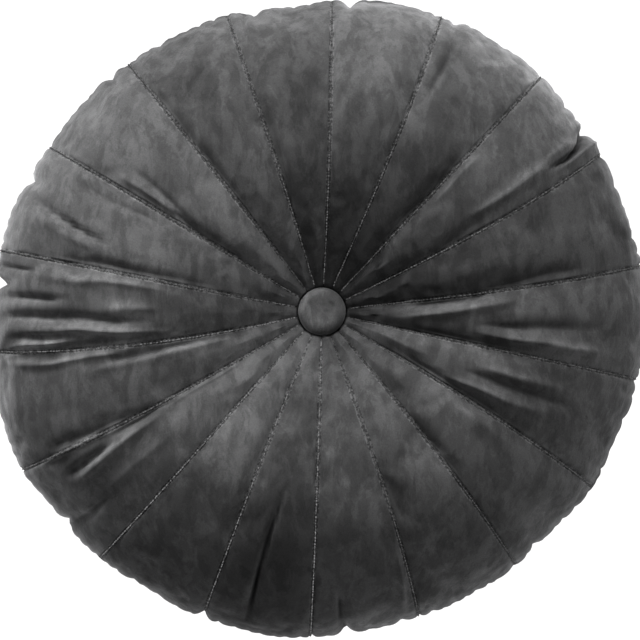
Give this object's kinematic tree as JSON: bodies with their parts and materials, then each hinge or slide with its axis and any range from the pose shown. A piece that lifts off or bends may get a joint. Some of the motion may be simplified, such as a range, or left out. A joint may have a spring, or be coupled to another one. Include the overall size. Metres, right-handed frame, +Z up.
{
  "type": "round cushion",
  "caption": "Round filled velvet cushion with stitched radial channels drawn in to a covered button at its middle, a gathered rim and a plain back.",
  "frame": {"origin": "middle of the footprint, on the surface that the cushion's back rests on", "axes": "+Z up out of the stitched face, +X to the right and +Y to the top of the face as the picture shows it"},
  "size_m": [0.4078, 0.397, 0.1015],
  "materials": {
    "velvet": "charcoal velvet with a short brushed pile",
    "button_velvet": "charcoal velvet stretched over a button"
  },
  "bodies": {
    "root": {"cushion": "velvet", "button": "button_velvet"}
  },
  "joints": []
}
